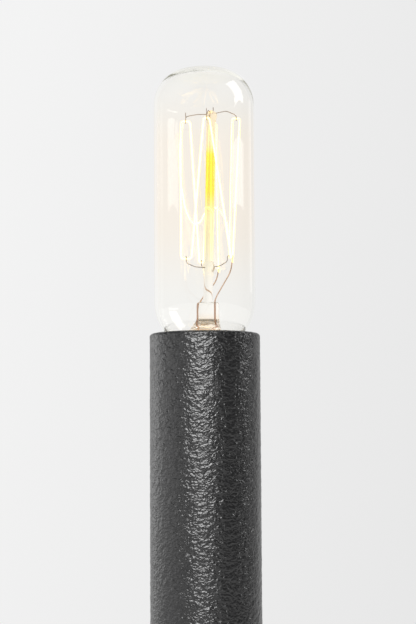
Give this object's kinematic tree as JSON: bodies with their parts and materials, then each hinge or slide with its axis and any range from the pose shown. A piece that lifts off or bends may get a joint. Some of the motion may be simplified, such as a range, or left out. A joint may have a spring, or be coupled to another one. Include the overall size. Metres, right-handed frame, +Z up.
{
  "type": "wall sconce",
  "caption": "Wall sconce: a vertical pebbled black tube on a short arm and round back plate, with a clear tubular filament bulb screwed into its open top.",
  "frame": {"origin": "on the wall plane, at the centre of the mounting strap's two screw slots", "axes": "+Z up along the tube, +Y into the wall, +X to the right as seen from the room"},
  "size_m": [0.1138, 0.0925, 0.3885],
  "materials": {
    "pebbled_paint": "semi-gloss black paint with a pebbled cast relief",
    "black_metal": "satin black",
    "dark_steel": "blackened steel",
    "brass_thread": "bright rolled thread",
    "zinc_steel": "zinc plated",
    "cast_aluminium": "turned",
    "white_plastic": "moulded",
    "green_metal": "green earth screw",
    "brass": "pressed sheet",
    "black_phenolic": "moulded phenolic",
    "brown_insulation": "wire insulation",
    "blue_insulation": "wire insulation",
    "green_insulation": "wire insulation",
    "solder": "solder",
    "black_glass": "black insulating glass",
    "nickel_cap": "nickel plated rolled sheet",
    "cement": "basing cement",
    "clear_glass": "clear glass",
    "stem_glass": "clear glass",
    "lead_wire": "copper clad wire",
    "support_wire": "dull wire",
    "hot_filament": "lit filament"
  },
  "bodies": {
    "sconce": {"tube": "pebbled_paint", "bottom_cap": "pebbled_paint", "arm_sleeve": "pebbled_paint", "back_plate": "pebbled_paint", "cap_nuts": "black_metal", "cap_grub_screw": "dark_steel", "plug_screws": "dark_steel", "stem": "brass_thread", "nipple": "brass_thread", "lock_nuts": "brass_thread", "saddle_washer": "zinc_steel", "plate_washer": "zinc_steel", "mounting_strap": "zinc_steel", "strap_studs": "zinc_steel", "strap_nuts": "zinc_steel", "holder_bracket": "zinc_steel", "bracket_screws": "zinc_steel", "terminal_screws": "zinc_steel", "clamp_screws": "zinc_steel", "block_nut": "zinc_steel", "seat_plug": "cast_aluminium", "stem_bushings": "white_plastic", "terminal_block": "white_plastic", "earth_screw": "green_metal", "earth_lug": "brass", "block_clamps": "brass", "holder_body": "black_phenolic", "screw_shell": "brass", "centre_contact": "brass", "live_wire": "brown_insulation", "neutral_wire": "blue_insulation", "earth_wire": "green_insulation"},
    "bulb_foot": {"bulb_foot": "solder"},
    "bulb": {"bulb_insulator": "black_glass", "bulb_cap": "nickel_cap", "bulb_cement": "cement", "bulb_glass": "clear_glass", "glass_stem": "stem_glass", "lead_wires": "lead_wire", "upper_supports": "support_wire", "lower_supports": "support_wire", "filament": "hot_filament"}
  },
  "joints": [
    {"name": "bulb_lift", "type": "slide", "parent": "sconce", "child": "bulb_foot", "axis": [0, 0, 1], "range_m": [0, 0.01864]},
    {"name": "bulb_turn", "type": "hinge", "parent": "bulb_foot", "child": "bulb", "pos_m": [0, -0.075, 0.162], "axis": [0, 0, 1], "range_deg": [0, 1800]}
  ],
  "couplings": [
    {"joint": "bulb_lift", "follows": "bulb_turn", "m_per_rad": 0.00057757}
  ]
}
